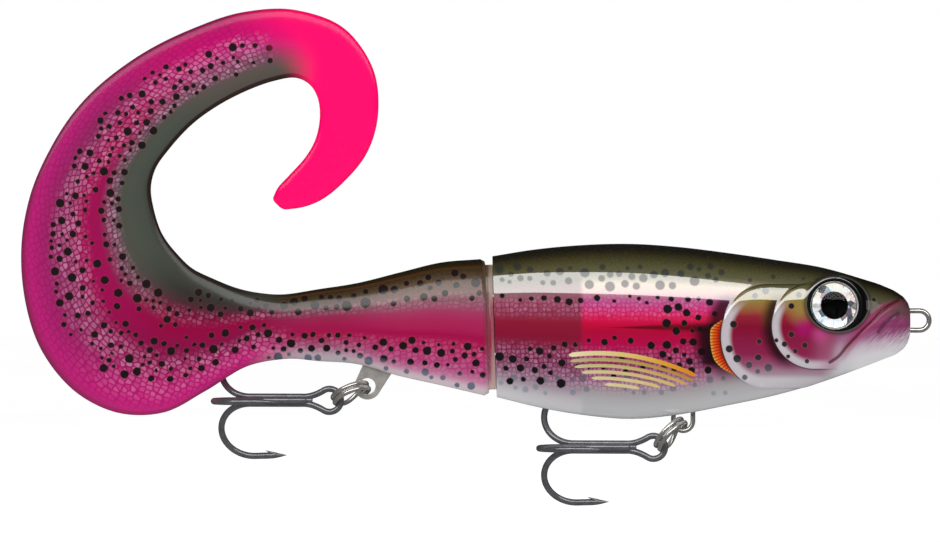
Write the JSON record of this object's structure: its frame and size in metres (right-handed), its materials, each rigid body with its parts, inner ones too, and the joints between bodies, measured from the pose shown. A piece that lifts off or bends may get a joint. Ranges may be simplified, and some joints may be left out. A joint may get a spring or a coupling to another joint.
{
  "type": "jointed swimbait",
  "caption": "Two-piece fish-shaped fishing lure: hollow hard front body hinged on a pin to a soft curled tail, with a line tie and split rings carrying treble hooks.",
  "frame": {"origin": "centre of the line tie's round end, in the fish's middle plane", "axes": "+X runs forward out of the nose, +Z towards the back of the fish, +Y towards its left flank"},
  "size_m": [0.1699, 0.0207, 0.093],
  "materials": {
    "painted_shell": "printed trout pattern under clear gloss lacquer",
    "holographic_foil": "pink holographic foil",
    "eye_print": "silver faceted foil with a black pupil",
    "eye_lens": "clear domed resin",
    "bright_wire": "bright stainless spring wire",
    "ballast": "dull cast weight",
    "clear_plastic": "clear styrene",
    "ball_steel": "polished steel",
    "coupling_plastic": "beige pink moulded plastic",
    "satin_steel": "satin stainless sheet",
    "soft_tail": "soft elastomer with printed trout pattern",
    "black_nickel": "black nickel plate"
  },
  "bodies": {
    "front_body": {"body_shell_left": "painted_shell", "body_shell_right": "painted_shell", "foil_insert_left": "holographic_foil", "foil_insert_right": "holographic_foil", "eye_disc_left": "eye_print", "eye_disc_right": "eye_print", "eye_lens_left": "eye_lens", "eye_lens_right": "eye_lens", "line_tie": "bright_wire", "belly_hook_hanger": "bright_wire", "belly_ballast": "ballast", "head_ballast": "ballast", "rattle_tube": "clear_plastic", "rattle_tube_cap": "clear_plastic", "hinge_pin": "bright_wire"},
    "rattle": {"rattle_ball": "ball_steel"},
    "tail": {"tail_coupling": "coupling_plastic", "harness_plate": "satin_steel", "harness_rivet_upper": "satin_steel", "harness_rivet_lower": "satin_steel", "soft_tail": "soft_tail"},
    "front_ring": {"front_split_ring": "bright_wire"},
    "front_treble": {"front_treble_double": "black_nickel", "front_treble_single": "black_nickel"},
    "rear_ring": {"rear_split_ring": "bright_wire"},
    "rear_treble": {"rear_treble_double": "black_nickel", "rear_treble_single": "black_nickel"}
  },
  "joints": [
    {"name": "tail_hinge", "type": "hinge", "parent": "front_body", "child": "tail", "pos_m": [-0.07773, 0, 0], "axis": [-0.0316, 0, 0.9995], "range_deg": [-16, 16]},
    {"name": "rattle_slide", "type": "slide", "parent": "front_body", "child": "rattle", "axis": [1, 0, 0], "range_m": [-0.0042, 0.0042]},
    {"name": "front_ring_swing", "type": "hinge", "parent": "front_body", "child": "front_ring", "pos_m": [-0.0441, 0, -0.01875], "axis": [0, -1, 0], "range_deg": [0, 90]},
    {"name": "front_treble_swing", "type": "hinge", "parent": "front_ring", "child": "front_treble", "pos_m": [-0.04879, 0, -0.02367], "axis": [0, -1, 0], "range_deg": [0, 60]},
    {"name": "rear_ring_swing", "type": "hinge", "parent": "tail", "child": "rear_ring", "pos_m": [-0.103, 0, -0.01224], "axis": [0, -1, 0], "range_deg": [0, 90]},
    {"name": "rear_treble_swing", "type": "hinge", "parent": "rear_ring", "child": "rear_treble", "pos_m": [-0.10926, 0, -0.01491], "axis": [0, -1, 0], "range_deg": [-5, 60]}
  ]
}
